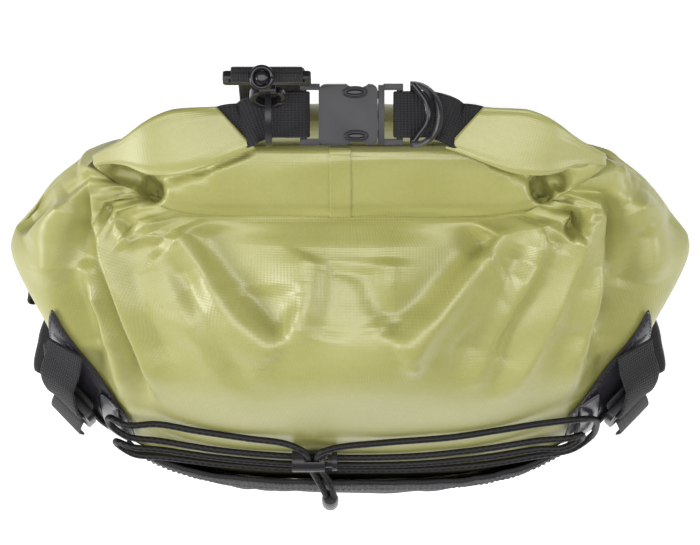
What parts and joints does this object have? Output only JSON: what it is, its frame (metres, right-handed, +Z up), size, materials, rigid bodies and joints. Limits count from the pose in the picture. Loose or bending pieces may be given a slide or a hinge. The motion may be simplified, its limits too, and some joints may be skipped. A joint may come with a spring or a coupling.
{
  "type": "roll-top dry backpack",
  "caption": "Roll-top dry backpack of welded tarpaulin with a side-release buckle, snap hook, laced elastic cord, front pocket and padded shoulder straps, standing on its flat base",
  "frame": {"origin": "middle of the floor of the bounding box, on the surface that the bag stands on", "axes": "+Z up, -Y towards the front with the pocket, +Y towards the wearer's back"},
  "size_m": [0.445, 0.2666, 0.5788],
  "materials": {
    "tarpaulin": "PVC-coated woven cloth, satin, olive green",
    "webbing": "ribbed woven webbing, matt black",
    "moulded_plastic": "moulded acetal, fine satin texture, near black",
    "hook_plastic": "moulded acetal, glossy, near black",
    "patch": "coated cloth patch, glossy dark grey, stitched",
    "elastic_cord": "braided sleeve over rubber, black",
    "padded_cloth": "plain woven nylon over foam, matt black"
  },
  "bodies": {
    "bag": {"bag_body": "tarpaulin", "rolled_collar": "tarpaulin", "collar_webbing_left": "webbing", "collar_webbing_right": "webbing", "buckle_socket": "moulded_plastic", "buckle_plug": "moulded_plastic", "d_ring_left": "moulded_plastic", "d_ring_right": "moulded_plastic", "hook_body": "hook_plastic", "hook_swivel": "hook_plastic", "haul_strap": "webbing", "strap_patch_left": "patch", "strap_patch_right": "patch", "side_webbing_left": "webbing", "side_webbing_right": "webbing", "ladder_lock_left": "moulded_plastic", "ladder_lock_right": "moulded_plastic", "side_strap_left": "webbing", "side_strap_right": "webbing", "anchor_tab_left": "patch", "anchor_tab_right": "patch", "bungee_cord": "elastic_cord", "cord_lock_barrel": "moulded_plastic", "cord_end": "moulded_plastic", "front_pocket": "padded_cloth", "pocket_binding": "webbing", "back_pad": "padded_cloth", "shoulder_strap_left": "padded_cloth", "shoulder_strap_right": "padded_cloth", "strap_adjuster_left": "moulded_plastic", "strap_adjuster_right": "moulded_plastic", "strap_webbing_left": "webbing", "strap_webbing_right": "webbing", "hip_wing_left": "padded_cloth", "hip_wing_right": "padded_cloth"},
    "gate": {"hook_gate": "hook_plastic"},
    "plunger": {"cord_lock_plunger": "moulded_plastic"}
  },
  "joints": [
    {"name": "hook_gate_hinge", "type": "hinge", "parent": "bag", "child": "gate", "pos_m": [-0.03834, 0.07738, 0.55787], "axis": [0, 0.9566, -0.2914], "range_deg": [0, 22], "stiffness_Nm_per_rad": 0.02, "springref_deg": -11.46},
    {"name": "cord_lock_press", "type": "slide", "parent": "bag", "child": "plunger", "axis": [-1, 0, 0], "range_m": [0, 0.004], "stiffness_N_per_m": 200, "springref_m": -0.002}
  ]
}
